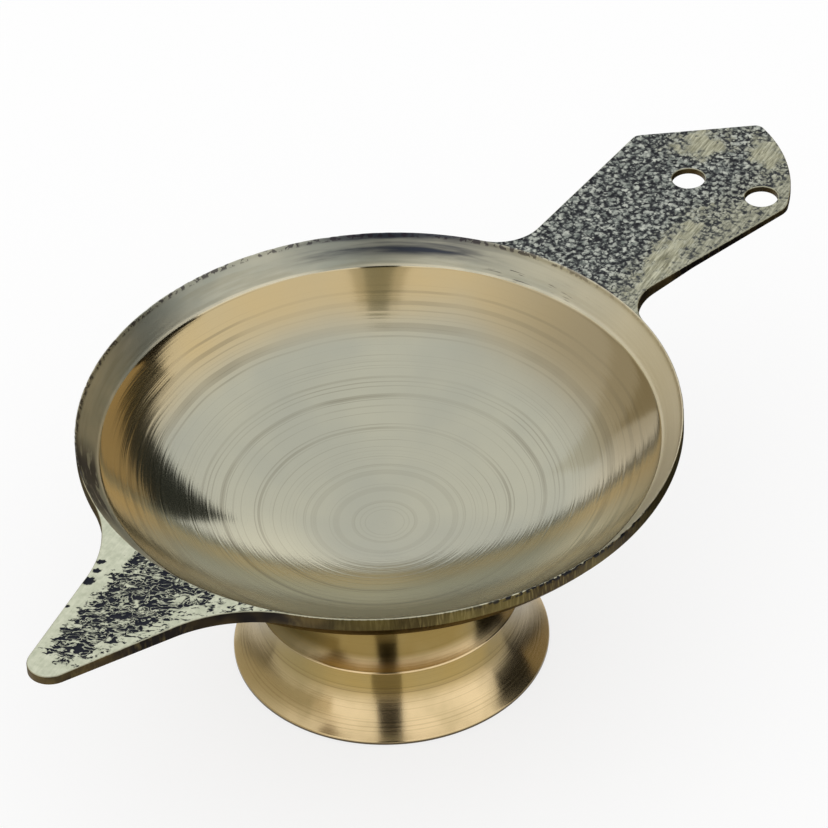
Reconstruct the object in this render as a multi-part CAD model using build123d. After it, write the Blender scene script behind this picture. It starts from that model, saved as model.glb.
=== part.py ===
from build123d import *
import os
from math import hypot, radians, sin, tan

# Brass aarti lamp: a sand-cast dish with a wick spout and a paddle handle, turned inside,
# brazed by a spigot onto a turned foot that is hollow underneath.
# Millimetres, +Z up. The origin is the middle of the foot on the table, the handle runs
# along +X and the spout along -X.

# Bowl and rim
overall_height = 34.0
rim_radius = 35.0
rim_face_height = 1.6
lip_width = 2.5
lip_drop = 3.1
bowl_depth = 16.0
floor_thickness = 2.0

# Wick spout, measured from the edge of the rim
spout_length = 21.2
spout_half_angle = 17.7
spout_tip_radius = 2.6
spout_root_fillet = 15.5
spout_tip_thickness = 1.1

# Paddle handle, measured from the edge of the rim to its end before the corners are rounded
handle_length = 36.6
handle_gable_length = 11.2
handle_root_width = 17.0
handle_shoulder_width = 23.6
handle_tip_offset = 1.2
handle_gable_bulge = 1.8
handle_taper_length = 10.0
handle_taper_thickness = 0.9
handle_tip_thickness = 0.7
handle_root_fillet = 5.0
handle_apex_radius = 1.2
handle_left_shoulder_radius = 1.2
handle_right_shoulder_radius = 2.5

# Drilled holes in the handle, measured back from its tip and leftwards from the middle line
hole_diameter = 4.0
middle_hole_setback = 14.0
middle_hole_offset = 1.1
corner_hole_setback = 11.4
corner_hole_offset = -8.1

# Foot
base_radius = 18.8
base_edge_height = 0.5
base_land_width = 2.4
step_radius = 15.6
step_height = 8.4
step_edge_height = 0.3
step_undercut = 0.3
neck_radius = 13.0
neck_drop = 2.6
neck_fillet = 2.5
cove_bend = 0.62
web_thickness = 3.6
hollow_top_radius = 11.2

# Brazed seat between dish and foot
spigot_radius = 5.0
braze_gap = 0.2

# Places worked out from the sizes above
lip_inner_radius = rim_radius - lip_width
outer_depth = bowl_depth + floor_thickness
neck_height = overall_height - outer_depth - neck_drop
seat_height = neck_height - braze_gap
hollow_height = seat_height - web_thickness
socket_radius = spigot_radius + braze_gap


def bowl_section(radius, drop, depth):
    """Half section of a bowl: an arc from depth on the axis up to drop at the radius, below the rim."""
    floor = (0, overall_height - depth)
    edge = (radius, overall_height - drop)
    return make_face([TangentArc(floor, edge, tangent=(1, 0)), Polyline(edge, (0, edge[1]), floor)])


def block(x_low, x_high, z_low, z_high):
    """Upright rectangle between two radii and two heights."""
    place = Pos((x_low + x_high) / 2, (z_low + z_high) / 2)
    return place * Rectangle(x_high - x_low, z_high - z_low)


def turned(section):
    """Solid of revolution about the lamp's axis, from a section of radius and height."""
    return revolve(Plane.XZ * section, Axis.Z)


def handle_plan():
    """Paddle: sides that widen outwards, two shoulders and a gable end with a bulging right side."""
    root_half = handle_root_width / 2
    shoulder_half = handle_shoulder_width / 2
    tip_reach = rim_radius + handle_length
    shoulder_reach = tip_reach - handle_gable_length
    start = rim_radius / 2
    flare = (shoulder_half - root_half) / (shoulder_reach - rim_radius)
    start_half = root_half - flare * (rim_radius - start)
    tip = (tip_reach, handle_tip_offset)
    right_shoulder = (shoulder_reach, -shoulder_half)
    left_shoulder = (shoulder_reach, shoulder_half)
    plan = make_face(
        [
            Polyline(tip, left_shoulder, (start, start_half), (start, -start_half), right_shoulder),
            SagittaArc(tip, right_shoulder, handle_gable_bulge),
        ]
    )
    plan = fillet(plan.vertices().sort_by(Axis.X)[-1], handle_apex_radius)
    plan = fillet(plan.vertices().sort_by(Axis.Y)[-1], handle_left_shoulder_radius)
    return fillet(plan.vertices().sort_by(Axis.Y)[0], handle_right_shoulder_radius)


def spout_plan():
    """Tapering tongue with a rounded tip."""
    rounding = spout_tip_radius * (1 / sin(radians(spout_half_angle)) - 1)
    apex = -(rim_radius + spout_length + rounding)
    start = -rim_radius / 2
    start_half = (start - apex) * tan(radians(spout_half_angle))
    plan = Polygon((apex, 0), (start, -start_half), (start, start_half), align=None)
    return fillet(plan.vertices().sort_by(Axis.X)[0], spout_tip_radius)


def casting_plan():
    """Outline of the whole casting from above, with cast fillets where the arms leave the rim."""
    plan = Circle(rim_radius) + handle_plan() + spout_plan()
    for side, radius in ((1, handle_root_fillet), (-1, spout_root_fillet)):
        roots = [
            corner
            for corner in plan.vertices()
            if abs(hypot(corner.X, corner.Y) - rim_radius) < 0.001 and corner.X * side > 0
        ]
        plan = fillet(roots, radius)
    return plan


def arms():
    """Flat spout and handle, as thick as the rim at their roots and thinning to their tips."""
    underside = overall_height - rim_face_height
    handle_taper = rim_radius + handle_taper_length
    handle_tip = rim_radius + handle_length
    spout_tip = -(rim_radius + spout_length)
    side_view = Polygon(
        (spout_tip, overall_height),
        (spout_tip, overall_height - spout_tip_thickness),
        (-rim_radius, underside),
        (rim_radius, underside),
        (handle_taper, overall_height - handle_taper_thickness),
        (handle_tip, overall_height - handle_tip_thickness),
        (handle_tip, overall_height),
        align=None,
    )
    slab = extrude(Plane.XZ * side_view, rim_radius + handle_shoulder_width, both=True)
    prism = extrude(Pos(0, 0, overall_height) * casting_plan(), -2 * rim_face_height)
    return slab & prism


def bowl_outside():
    """Rounded underside of the bowl on a short filleted neck, with the spigot below it."""
    rim = block(0, rim_radius, overall_height - rim_face_height, overall_height)
    neck = block(0, neck_radius, neck_height, overall_height)
    section = bowl_section(rim_radius, rim_face_height, outer_depth) + rim + neck
    corner = [
        point
        for point in section.vertices()
        if abs(point.X - neck_radius) < 0.001 and point.Y > neck_height + 0.001
    ]
    section = fillet(corner, neck_fillet)
    section += block(0, spigot_radius, hollow_height, overall_height)
    return turned(section)


def bowl_inside():
    """Space inside the bowl: a conical lip over a rounded dish."""
    lip_height = overall_height - lip_drop
    lip = Polygon(
        (0, lip_height),
        (lip_inner_radius, lip_height),
        (rim_radius, overall_height),
        (0, overall_height),
        align=None,
    )
    return turned(bowl_section(lip_inner_radius, lip_drop, bowl_depth) + lip)


def handle_holes():
    """Drills for the two holes near the end of the handle."""
    tip = rim_radius + handle_length
    drills = []
    for setback, offset in (
        (middle_hole_setback, middle_hole_offset),
        (corner_hole_setback, corner_hole_offset),
    ):
        drill = Cylinder(hole_diameter / 2, 4 * rim_face_height)
        drills.append(Pos(tip - setback, offset, overall_height) * drill)
    return drills


def lamp_dish():
    """The casting: bowl, spout and handle in one piece."""
    return bowl_outside() + arms() - bowl_inside() - handle_holes()


def cove(top, bottom):
    """Hollow curve that starts straight down from its top and flares out to its bottom."""
    bend = (top[0], top[1] - cove_bend * (top[1] - bottom[1]))
    return Bezier(top, bend, bottom)


def pedestal_foot():
    """Two stacked coves over a plain edge, with a hollow and a spigot socket."""
    neck = (neck_radius, seat_height)
    step = (step_radius, step_height)
    step_foot = (step_radius, step_height - step_edge_height)
    ledge = (step_radius - step_undercut, step_height - step_edge_height)
    base = (base_radius, base_edge_height)
    outside = make_face(
        [
            Polyline((0, 0), (0, seat_height), neck),
            cove(neck, step),
            Polyline(step, step_foot, ledge),
            cove(ledge, base),
            Polyline(base, (base_radius, 0), (0, 0)),
        ]
    )
    hollow = Polygon(
        (0, 0),
        (base_radius - base_land_width, 0),
        (hollow_top_radius, hollow_height),
        (0, hollow_height),
        align=None,
    )
    socket = block(0, socket_radius, hollow_height, seat_height)
    return turned(outside - hollow - socket)


def braze_joint():
    """Film of brazing metal on the seat and round the spigot."""
    film = block(socket_radius, neck_radius, seat_height, neck_height)
    sleeve = block(spigot_radius, socket_radius, hollow_height, neck_height)
    return turned(film + sleeve)


os.makedirs("parts", exist_ok=True)
for name, piece in (
    ("lamp_dish", lamp_dish()),
    ("pedestal_foot", pedestal_foot()),
    ("braze_joint", braze_joint()),
):
    export_step(piece, f"parts/{name}.step")
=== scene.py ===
"""Looks of a brass aarti lamp: a turned dish with a cast spout and handle, on a turned foot."""

from math import acos, atan2, ceil, cos, degrees, hypot, pi, radians, sin, sqrt, tan

import bmesh
import bpy
import numpy as np
from mathutils import Euler, Matrix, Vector
from mathutils.geometry import delaunay_2d_cdt


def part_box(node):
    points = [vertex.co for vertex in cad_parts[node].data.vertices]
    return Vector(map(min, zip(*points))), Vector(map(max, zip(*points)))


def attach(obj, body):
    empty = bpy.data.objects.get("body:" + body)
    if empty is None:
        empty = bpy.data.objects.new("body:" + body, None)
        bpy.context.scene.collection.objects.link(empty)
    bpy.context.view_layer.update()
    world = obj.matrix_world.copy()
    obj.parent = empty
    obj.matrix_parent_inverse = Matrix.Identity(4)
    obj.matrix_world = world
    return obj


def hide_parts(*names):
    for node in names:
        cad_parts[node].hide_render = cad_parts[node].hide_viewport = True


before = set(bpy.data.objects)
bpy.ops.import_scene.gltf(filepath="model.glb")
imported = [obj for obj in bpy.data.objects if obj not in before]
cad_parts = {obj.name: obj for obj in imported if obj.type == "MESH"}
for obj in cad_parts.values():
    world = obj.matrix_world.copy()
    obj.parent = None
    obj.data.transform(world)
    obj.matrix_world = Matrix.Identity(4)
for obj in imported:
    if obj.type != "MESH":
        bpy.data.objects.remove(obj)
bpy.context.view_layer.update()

MM = 0.001

# Sizes of the dish, in millimetres, with heights above the table
RIM_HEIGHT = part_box("lamp_dish")[1].z / MM
SPIGOT_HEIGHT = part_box("lamp_dish")[0].z / MM
RIM_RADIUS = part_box("lamp_dish")[1].y / MM
RIM_FACE = 1.6
LIP_RADIUS = 32.5
LIP_HEIGHT = RIM_HEIGHT - 3.1
BOWL_FLOOR = RIM_HEIGHT - 16.0
BOWL_UNDERSIDE = BOWL_FLOOR - 2.0
NECK_RADIUS = 13.0
NECK_FILLET = 2.5
SPIGOT_RADIUS = 5.0

# Sizes of the foot
FOOT_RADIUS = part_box("pedestal_foot")[1].x / MM
SEAT_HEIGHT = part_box("pedestal_foot")[1].z / MM
NECK_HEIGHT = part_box("braze_joint")[1].z / MM
STEP_RADIUS = 15.6
STEP_HEIGHT = 8.4
LEDGE_RADIUS = 15.3
LEDGE_HEIGHT = 8.1
BASE_EDGE = 0.5
COVE_BEND = 0.62
SOCKET_RADIUS = 5.2
HOLLOW_RADIUS = 16.4
HOLLOW_TOP_RADIUS = 11.2

# Outline of the handle and the spout, seen from above
HANDLE_TIP = 71.6
HANDLE_TIP_OFFSET = 1.2
HANDLE_SHOULDER = 60.4
HANDLE_ROOT_HALF = 8.5
HANDLE_SHOULDER_HALF = 11.8
HANDLE_BULGE = 1.8
HANDLE_TAPER = 45.0
HANDLE_TAPER_THICKNESS = 0.9
HANDLE_TIP_THICKNESS = 0.7
HANDLE_ROOT_ANGLE = 21.0
APEX_ROUNDING = 1.2
LEFT_ROUNDING = 1.2
RIGHT_ROUNDING = 2.5
HOLE_RADIUS = 2.0
HOLES = ((57.6, 1.1), (60.2, -8.1))
SPOUT_TIP = -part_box("lamp_dish")[0].x / MM
SPOUT_HALF_ANGLE = 17.7
SPOUT_ROUNDING = 2.6
SPOUT_TIP_THICKNESS = 1.1
SPOUT_ROOT_ANGLE = 25.5

# Fineness of the meshes
SEGMENTS = 480
OUTLINE_STEP = 0.3
SKIN_STEP = 0.27
UNDERSIDE_STEP = 0.7
HOLE_STEPS = 48
BOWL_ROW = 0.43
LIP_ROW = 0.25
UNDERSIDE_ROW = 1.0
NECK_ROW = 0.3
FOOT_ROW = 0.12
FILLET_ROWS = 10
HOLLOW_ROWS = 16
SHEET_MARGIN = 0.55
WELD = 2e-6

# Rounded edges and creases, and depths of the tool grooves, chips and pits
EDGE_INSETS = (0.10, 0.03, 0.0)
EDGE_DROPS = (0.0, 0.05, 0.16)
EDGE_FACE_ROWS = 5
CROWN = ((0.26, 0.20), (0.18, 0.05))
LIP_RIDGE = ((0.07, -0.03), (0.0, 0.06))
LIP_MARGINS = (0.12, 0.34)
STEP_CREST = (0.02, 0.06)
LEDGE_CORNER = 0.08
BASE_CORNER = 0.12
HOLLOW_LIFT = 0.05
FILLET_MARGIN = 0.2
CORNER = 0.1
SEAM_CREASE = 25
CREASE = 75
BOWL_GROOVE = 0.006
LIP_GROOVE = 0.003
UNDERSIDE_GROOVE = 0.008
FINE_GROOVE = 0.004
HOLLOW_GROOVE = 0.02
BOWL_GROOVE_PITCH = 0.9
FOOT_GROOVE_PITCH = 0.45
CROWN_CHIP = 0.1
RIM_CHIP = 0.2
RIM_FACE_CHIP = 0.08
PIT_DEPTH = 0.14
SKIN_FADE = 0.3


class Field:
    """A node socket that takes part in Python arithmetic and adds further nodes to its tree."""

    def __init__(self, tree, socket=None):
        self.tree = tree
        self.socket = socket

    def node(self, kind, settings=None, sockets=None, output=None):
        """Adds a node, sets its settings and then its sockets, and returns one of its outputs."""
        made = self.tree.nodes.new(kind)
        for name, value in (settings or {}).items():
            setattr(made, name, value)
        for name, value in (sockets or {}).items():
            target = made.inputs[name] if isinstance(name, int) else shown(made.inputs, name)
            if isinstance(value, Field):
                self.tree.links.new(value.socket, target)
            else:
                target.default_value = value
        return Field(self.tree, shown(made.outputs, output))

    def math(self, operation, *others, swapped=False):
        """A Math node on this value and others, the other way round if swapped."""
        values = [self, *others]
        if swapped:
            values.reverse()
        return self.node("ShaderNodeMath", {"operation": operation}, dict(enumerate(values)))

    def __add__(self, other):
        return self.math("ADD", other)

    def __radd__(self, other):
        return self.math("ADD", other)

    def __sub__(self, other):
        return self.math("SUBTRACT", other)

    def __rsub__(self, other):
        return self.math("SUBTRACT", other, swapped=True)

    def __mul__(self, other):
        return self.math("MULTIPLY", other)

    def __truediv__(self, other):
        return self.math("DIVIDE", other)

    def __abs__(self):
        return self.math("ABSOLUTE")

    def most(self, other):
        return self.math("MAXIMUM", other)

    def least(self, other):
        return self.math("MINIMUM", other)

    def rise(self, low, high):
        """0 below low, 1 above high and smooth between them."""
        return self.node(
            "ShaderNodeMapRange",
            {"interpolation_type": "SMOOTHSTEP"},
            {"Value": self, "From Min": low, "From Max": high},
        )

    def fall(self, low, high):
        """1 below low, 0 above high and smooth between them."""
        return 1 - self.rise(low, high)

    def blend(self, first, second):
        """Colour that goes from the first to the second as this value goes from 0 to 1."""
        return self.node(
            "ShaderNodeMix",
            {"data_type": "RGBA", "clamp_factor": True},
            {"Factor": self, "A": colour(first), "B": colour(second)},
        )

    def split(self):
        """The three numbers of a vector."""
        return [self.node("ShaderNodeSeparateXYZ", None, {0: self}, axis) for axis in "XYZ"]

    def join(self, x, y, z):
        return self.node("ShaderNodeCombineXYZ", None, {0: x, 1: y, 2: z})

    def scaled(self, factor):
        return self.node("ShaderNodeVectorMath", {"operation": "SCALE"}, {0: self, "Scale": factor})

    def noise(self, size, seed=0.0, detail=2.0, distortion=0.0, roughness=0.5):
        """Soft noise over a place in millimetres, about size across, from 0 to 1."""
        return self.node(
            "ShaderNodeTexNoise",
            {"noise_dimensions": "4D"},
            {
                "Vector": self,
                "W": seed,
                "Scale": 1 / size,
                "Detail": detail,
                "Roughness": roughness,
                "Distortion": distortion,
            },
            0,
        )

    def ripple(self, size, seed=0.0, detail=2.0):
        """Soft noise along one number, about size long, from 0 to 1."""
        along = self / size + seed
        return along.node(
            "ShaderNodeTexNoise",
            {"noise_dimensions": "1D"},
            {"W": along, "Scale": 1.0, "Detail": detail},
            0,
        )


def shown(sockets, name):
    """The socket with that name or number that the node's settings leave in use."""
    if isinstance(name, int):
        return sockets[name]
    for socket in sockets:
        if socket.enabled and name in (None, socket.name):
            return socket
    raise KeyError(name)


def colour(value):
    """A colour socket's value, with alpha where it is plain numbers."""
    return value if isinstance(value, Field) else (*value, 1.0)


def new_object(name, data):
    """Object at the origin, in the scene."""
    piece = bpy.data.objects.new(name, data)
    bpy.context.scene.collection.objects.link(piece)
    return piece


# Turned pieces


def edge_rows(thickness):
    """Edge of the rim and the arms, rounded on top: how far each row is set in and below the top."""
    rows = list(zip(EDGE_INSETS, EDGE_DROPS))
    start = EDGE_DROPS[-1]
    for step in range(1, EDGE_FACE_ROWS + 1):
        rows.append((0.0, start + (thickness - start) * step / EDGE_FACE_ROWS))
    return rows


class Profile:
    """Half section of a turned piece: points of radius and height with zones and depths of grooves.

    A point that is nicked has chips of its depth knocked out of it here and there, and no grooves."""

    def __init__(self):
        self.points = []
        self.zones = []
        self.depths = []
        self.nicked = []

    def run(self, points, zone, depth=0.0, nicked=0.0):
        """Adds a stretch of points to the section."""
        for point in points:
            self.points.append(tuple(point))
            self.zones.append(zone)
            self.depths.append(depth)
            self.nicked.append(nicked)

    def mesh(self, name):
        """Chain of edges that holds the section for the turning tree, in metres."""
        places = np.array(self.points)
        steps = np.diff(places, axis=0)
        lengths = np.linalg.norm(steps, axis=1)
        path = np.concatenate(([0.0], np.cumsum(lengths)))
        slopes = np.gradient(places, axis=0)
        outward = np.stack((-slopes[:, 1], slopes[:, 0]), axis=1)
        outward /= np.maximum(np.linalg.norm(outward, axis=1), 1e-9)[:, None]
        outward *= np.array(self.depths)[:, None]
        count = len(places)
        mesh = bpy.data.meshes.new(name)
        chain = [(i, i + 1) for i in range(count - 1)]
        mesh.from_pydata([(r * MM, 0.0, z * MM) for r, z in places], chain, [])
        store(mesh, "outward", "FLOAT_VECTOR", "vector", np.insert(outward, 1, 0.0, axis=1) * MM)
        store(mesh, "path", "FLOAT", "value", path)
        store(mesh, "nicked", "FLOAT", "value", np.array(self.nicked))
        store(mesh, "zone", "INT", "value", np.array(self.zones))
        return mesh


def store(mesh, name, kind, key, values):
    """Stores one value for each point of a mesh."""
    layer = mesh.attributes.new(name, kind, "POINT")
    layer.data.foreach_set(key, np.ascontiguousarray(values).ravel())


def spaced(start, end, step):
    """Even values from start to end, about a step apart."""
    return np.linspace(start, end, max(2, ceil(abs(end - start) / step) + 1))


def bowl_arc(radius, drop, depth, step):
    """Arc of a bowl from the axis, at height depth, out to the radius at height drop."""
    rise = drop - depth
    curve = (radius**2 + rise**2) / (2 * rise)
    angles = spaced(0.0, atan2(radius, curve - rise), step / curve)
    return [(curve * sin(a), depth + curve - curve * cos(a)) for a in angles], curve


def cove(top, bottom, step):
    """Hollow curve that starts straight down and flares outwards."""
    bend = (top[0], top[1] - COVE_BEND * (top[1] - bottom[1]))
    length = hypot(top[0] - bottom[0], top[1] - bottom[1])
    points = []
    for t in spaced(0.0, 1.0, step / length):
        weights = ((1 - t) ** 2, 2 * t * (1 - t), t * t)
        points.append([sum(w * p[i] for w, p in zip(weights, (top, bend, bottom))) for i in (0, 1)])
    return points


# Zones of the dish and the foot, each with its own material
INSIDE, LIP, RIM, UNDER, SEAT, ARM_TOP, ARM_SIDE, ARM_UNDER = range(8)
FOOT_OUTSIDE, FOOT_HIDDEN = range(2)

# Worn stretches of the rim in radians: the middle, the half that is fully worn and where it ends
WORN_ARCS = ((4.56, 0.25, 0.5), (2.44, 0.05, 0.17))


def dish_profile():
    """Section of the dish from the middle of the bowl over the rim and down to the spigot."""
    profile = Profile()
    bowl, _ = bowl_arc(LIP_RADIUS, LIP_HEIGHT, BOWL_FLOOR, BOWL_ROW)
    profile.run(bowl[:-1], INSIDE, BOWL_GROOVE)
    ridge = [(LIP_RADIUS - inset, LIP_HEIGHT + rise) for inset, rise in LIP_RIDGE]
    profile.run(ridge, LIP)
    slope = (RIM_HEIGHT - LIP_HEIGHT) / (RIM_RADIUS - LIP_RADIUS)
    radii = spaced(LIP_RADIUS + LIP_MARGINS[0], RIM_RADIUS - LIP_MARGINS[1], LIP_ROW)
    profile.run([(r, LIP_HEIGHT + slope * (r - LIP_RADIUS)) for r in radii], LIP, LIP_GROOVE)
    crown = [(RIM_RADIUS - inset, RIM_HEIGHT - drop) for inset, drop in CROWN]
    profile.run(crown, LIP, CROWN_CHIP, nicked=1.0)
    rim = [(RIM_RADIUS - inset, RIM_HEIGHT - drop) for inset, drop in edge_rows(RIM_FACE)]
    profile.run(rim[:3], RIM, RIM_CHIP, nicked=1.0)
    profile.run(rim[3:4], RIM, RIM_FACE_CHIP, nicked=1.0)
    profile.run(rim[4:-1], RIM)
    profile.run(rim[-1:], UNDER)
    under, curve = bowl_arc(RIM_RADIUS, RIM_HEIGHT - RIM_FACE, BOWL_UNDERSIDE, UNDERSIDE_ROW)
    centre = BOWL_UNDERSIDE + curve
    fillet_radius = NECK_RADIUS + NECK_FILLET
    fillet_height = centre - sqrt((curve + NECK_FILLET) ** 2 - fillet_radius**2)
    meet = fillet_radius * curve / (curve + NECK_FILLET)
    under = [p for p in reversed(under[:-1]) if p[0] > meet + FILLET_MARGIN]
    profile.run(under, UNDER, UNDERSIDE_GROOVE)
    swing = atan2(centre - fillet_height, -fillet_radius)
    for angle in np.linspace(swing, pi, FILLET_ROWS):
        place = (fillet_radius + NECK_FILLET * cos(angle), fillet_height + NECK_FILLET * sin(angle))
        profile.run([place], UNDER)
    heights = spaced(fillet_height - FILLET_MARGIN, NECK_HEIGHT, NECK_ROW)
    profile.run([(NECK_RADIUS, z) for z in heights], UNDER, FINE_GROOVE)
    seat = (NECK_RADIUS - CORNER, SPIGOT_RADIUS + CORNER, SPIGOT_RADIUS)
    profile.run([(r, NECK_HEIGHT) for r in seat], SEAT)
    profile.run([(SPIGOT_RADIUS, SPIGOT_HEIGHT), (0.0, SPIGOT_HEIGHT)], SEAT)
    return profile


def foot_profile():
    """Section of the foot from the seat down over both coves and up inside the hollow."""
    profile = Profile()
    profile.run([(SOCKET_RADIUS, SEAT_HEIGHT), (NECK_RADIUS - CORNER, SEAT_HEIGHT)], FOOT_HIDDEN)
    upper = cove((NECK_RADIUS, SEAT_HEIGHT), (STEP_RADIUS, STEP_HEIGHT), FOOT_ROW)
    profile.run(upper, FOOT_OUTSIDE, FINE_GROOVE)
    crest = (STEP_RADIUS + STEP_CREST[0], STEP_HEIGHT - STEP_CREST[1])
    under_step = (STEP_RADIUS, LEDGE_HEIGHT + LEDGE_CORNER)
    profile.run([crest, under_step, (STEP_RADIUS - LEDGE_CORNER, LEDGE_HEIGHT)], FOOT_OUTSIDE)
    lower = cove((LEDGE_RADIUS, LEDGE_HEIGHT), (FOOT_RADIUS - CORNER / 2, BASE_EDGE), FOOT_ROW)
    profile.run(lower, FOOT_OUTSIDE, FINE_GROOVE)
    edge = [(FOOT_RADIUS, BASE_EDGE - CORNER), (FOOT_RADIUS, BASE_CORNER)]
    profile.run([*edge, (FOOT_RADIUS - CORNER, 0.0)], FOOT_OUTSIDE)
    profile.run([(HOLLOW_RADIUS + CORNER, 0.0)], FOOT_HIDDEN)
    for share in np.linspace(0.0, 1.0, HOLLOW_ROWS):
        radius = HOLLOW_RADIUS + (HOLLOW_TOP_RADIUS - HOLLOW_RADIUS) * share
        height = HOLLOW_LIFT + (SPIGOT_HEIGHT - HOLLOW_LIFT) * share
        profile.run([(radius, height)], FOOT_HIDDEN, HOLLOW_GROOVE)
    profile.run([(SOCKET_RADIUS, SPIGOT_HEIGHT), (SOCKET_RADIUS, SEAT_HEIGHT)], FOOT_HIDDEN)
    return profile


def tree_with(name, inputs):
    """Geometry tree with the given named inputs, after its geometry."""
    tree = bpy.data.node_groups.new(name, "GeometryNodeTree")
    tree.interface.new_socket("Geometry", in_out="INPUT", socket_type="NodeSocketGeometry")
    for label, kind in inputs.items():
        tree.interface.new_socket(label, in_out="INPUT", socket_type=kind)
    tree.interface.new_socket("Geometry", in_out="OUTPUT", socket_type="NodeSocketGeometry")
    entry = tree.nodes.new("NodeGroupInput")
    given = {socket.name: Field(tree, socket) for socket in entry.outputs if socket.name}
    return tree, given


def finish_tree(tree, geometry, materials):
    """Ends a tree: real geometry, with each zone's material."""
    geometry = geometry.node("GeometryNodeRealizeInstances", None, {"Geometry": geometry})
    zone = named(geometry, "zone", "INT")
    for number, label in materials.items():
        here = zone.node(
            "FunctionNodeCompare",
            {"data_type": "INT", "operation": "EQUAL"},
            {"A": zone, "B": number},
        )
        geometry = geometry.node(
            "GeometryNodeSetMaterial",
            None,
            {"Geometry": geometry, "Selection": here, "Material": bpy.data.materials[label]},
        )
    leave = tree.nodes.new("NodeGroupOutput")
    tree.links.new(geometry.socket, leave.inputs[0])


def named(field, name, kind):
    """Reads a stored value in a geometry tree."""
    settings = {"data_type": kind}
    return field.node("GeometryNodeInputNamedAttribute", settings, {"Name": name}, "Attribute")


def rim_wear(angle):
    """How badly the rim is chipped at an angle in radians from 0 to one turn."""
    worst, lesser = (abs(angle - middle).fall(full, end) for middle, full, end in WORN_ARCS)
    return worst.most(lesser)


def turning_tree(materials):
    """Turns a section about the upright axis and cuts fine tool grooves round it."""
    inputs = {
        "Segments": "NodeSocketInt",
        "Groove pitch": "NodeSocketFloat",
        "Seed": "NodeSocketFloat",
    }
    tree, given = tree_with("Turned piece", inputs)
    section = given["Geometry"]
    rows = section.node("GeometryNodeAttributeDomainSize", None, {"Geometry": section}, "Point Count")
    grid = section.node(
        "GeometryNodeMeshGrid",
        None,
        {"Size X": 1.0, "Size Y": 1.0, "Vertices X": given["Segments"] + 1, "Vertices Y": rows},
        "Mesh",
    )
    across, along, _ = section.node("GeometryNodeInputPosition").split()
    row = (along + 0.5) * (rows - 1)

    def sampled(value, kind, index):
        return section.node(
            "GeometryNodeSampleIndex",
            {"data_type": kind, "domain": "POINT"},
            {"Geometry": section, "Value": value, "Index": index},
        )

    zone = sampled(named(section, "zone", "INT"), "INT", row.math("FLOOR"))
    grid = grid.node(
        "GeometryNodeStoreNamedAttribute",
        {"data_type": "INT", "domain": "FACE"},
        {"Geometry": grid, "Name": "zone", "Value": zone},
    )
    nearest = row.math("ROUND")
    place = sampled(section.node("GeometryNodeInputPosition"), "FLOAT_VECTOR", nearest)
    outward = sampled(named(section, "outward", "FLOAT_VECTOR"), "FLOAT_VECTOR", nearest)
    path = sampled(named(section, "path", "FLOAT"), "FLOAT", nearest)
    groove = (path / given["Groove pitch"]).ripple(1.0, given["Seed"], 3.0) * 2 - 1
    angle = (across + 0.5) * (2 * pi)
    right, ahead = angle.math("COSINE"), angle.math("SINE")
    chips = place.join(right, ahead, 0.0).scaled(RIM_RADIUS)
    chips = chips.noise(1.0, given["Seed"], 2.0).rise(0.48, 0.66)
    sides = abs(ahead).rise(0.52, 0.8) * 0.25
    chips = chips * sides.most(rim_wear(angle)) * -1
    nicked = sampled(named(section, "nicked", "FLOAT"), "FLOAT", nearest)
    cut = groove + nicked * (chips - groove)
    place = place.node("ShaderNodeVectorMath", {"operation": "ADD"}, {0: place, 1: outward.scaled(cut)})
    radius, _, height = place.split()
    turned = radius.join(radius * right, radius * ahead, height)
    grid = grid.node("GeometryNodeSetPosition", None, {"Geometry": grid, "Position": turned})
    grid = grid.node("GeometryNodeMergeByDistance", None, {"Geometry": grid, "Distance": 1e-6})
    finish_tree(tree, grid, materials)
    return tree


def evaluated(piece, tree, values):
    """Runs a tree on a piece and returns the result as a plain mesh."""
    modifier = piece.modifiers.new(tree.name, "NODES")
    modifier.node_group = tree
    for item in tree.interface.items_tree:
        if item.in_out == "INPUT" and item.name in values:
            modifier[item.identifier] = values[item.name]
    graph = bpy.context.evaluated_depsgraph_get()
    mesh = bpy.data.meshes.new_from_object(piece.evaluated_get(graph), depsgraph=graph)
    bpy.data.objects.remove(piece)
    return mesh


def turned_mesh(name, profile, materials, segments, pitch, seed):
    """Mesh of a turned piece from its section."""
    section = new_object(name, profile.mesh(name + "_section"))
    values = {"Segments": segments, "Groove pitch": pitch, "Seed": seed}
    return evaluated(section, turning_tree(materials), values)


# Cast spout and handle


def direction(angle):
    """Unit vector at an angle in degrees."""
    return np.array((cos(radians(angle)), sin(radians(angle))))


def arc(centre, radius, start, end):
    """Points along an arc between two angles in degrees, going round the short way."""
    sweep = (end - start + 180) % 360 - 180
    count = max(2, ceil(abs(radians(sweep)) * radius / OUTLINE_STEP))
    angles = np.radians(start + sweep * np.linspace(0.0, 1.0, count + 1))
    return centre + radius * np.stack((np.cos(angles), np.sin(angles)), axis=1)


def heading(vector):
    """Angle of a vector in degrees."""
    return degrees(atan2(vector[1], vector[0]))


def turned_left(vector):
    """The vector turned a quarter to the left."""
    return np.array((-vector[1], vector[0]))


def rounded(before, corner, after, radius):
    """Arc that rounds off a corner between two straight sides."""
    first = (before - corner) / np.linalg.norm(before - corner)
    second = (after - corner) / np.linalg.norm(after - corner)
    half = acos(first @ second) / 2
    middle = (first + second) / np.linalg.norm(first + second)
    centre = corner + middle * radius / sin(half)
    ends = [corner + side * radius / tan(half) - centre for side in (first, second)]
    return arc(centre, radius, heading(ends[0]), heading(ends[1]))


def root_fillet(point, normal, angle):
    """Cast fillet from the rim, at an angle, onto a straight side through a point."""
    radial = direction(angle)
    lean = normal @ radial
    radius = (RIM_RADIUS * lean - normal @ point) / (1 - lean)
    centre = (RIM_RADIUS + radius) * radial
    return arc(centre, radius, angle + 180, heading(-normal))


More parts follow.
